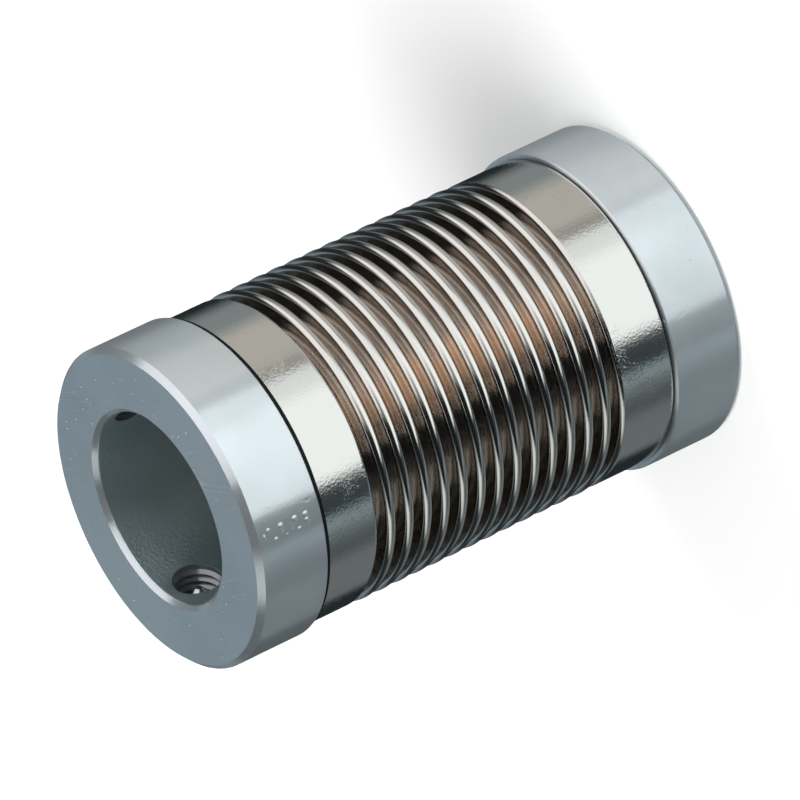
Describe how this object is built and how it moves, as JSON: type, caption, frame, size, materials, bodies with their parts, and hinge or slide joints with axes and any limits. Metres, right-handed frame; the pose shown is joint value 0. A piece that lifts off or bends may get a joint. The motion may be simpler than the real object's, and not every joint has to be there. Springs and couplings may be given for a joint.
{
  "type": "bellows coupling",
  "caption": "Bellows shaft coupling: two bored aluminium hubs with radial set screws, joined by a corrugated metal bellows that flexes but doesn't twist.",
  "frame": {"origin": "centre of the lower hub's end face, which the coupling stands on", "axes": "+Z along the shaft axis towards the upper hub; +Y is the side that both pairs of set screws face; +X follows by the right-hand rule"},
  "size_m": [0.04, 0.04, 0.07],
  "materials": {
    "hub_metal": "fine-turned, satin",
    "bellows_metal": "bright stainless steel, formed, lightly polished",
    "cured_adhesive": "dark cured adhesive",
    "screw_steel": "plain hardened steel"
  },
  "bodies": {
    "lower_half": {"lower_hub": "hub_metal", "lower_bond": "cured_adhesive", "bellows": "bellows_metal"},
    "upper_half": {"upper_hub": "hub_metal", "upper_bond": "cured_adhesive"},
    "lower_screw_1": {"lower_set_screw_1": "screw_steel"},
    "lower_screw_2": {"lower_set_screw_2": "screw_steel"},
    "upper_screw_1": {"upper_set_screw_1": "screw_steel"},
    "upper_screw_2": {"upper_set_screw_2": "screw_steel"}
  },
  "joints": [
    {"name": "bellows_flex", "type": "hinge", "parent": "lower_half", "child": "upper_half", "pos_m": [0, 0, 0.035], "axis": [0, 1, 0], "range_deg": [-2, 2], "stiffness_Nm_per_rad": 4, "deforming": ["bellows"]},
    {"name": "lower_screw_1_travel", "type": "slide", "parent": "lower_half", "child": "lower_screw_1", "axis": [0.9063, 0.4226, 0], "range_m": [-0.001, 0.001]},
    {"name": "lower_screw_2_travel", "type": "slide", "parent": "lower_half", "child": "lower_screw_2", "axis": [-0.9063, 0.4226, 0], "range_m": [-0.001, 0.001]},
    {"name": "upper_screw_1_travel", "type": "slide", "parent": "upper_half", "child": "upper_screw_1", "axis": [0.9063, 0.4226, 0], "range_m": [-0.001, 0.001]},
    {"name": "upper_screw_2_travel", "type": "slide", "parent": "upper_half", "child": "upper_screw_2", "axis": [-0.9063, 0.4226, 0], "range_m": [-0.001, 0.001]}
  ]
}
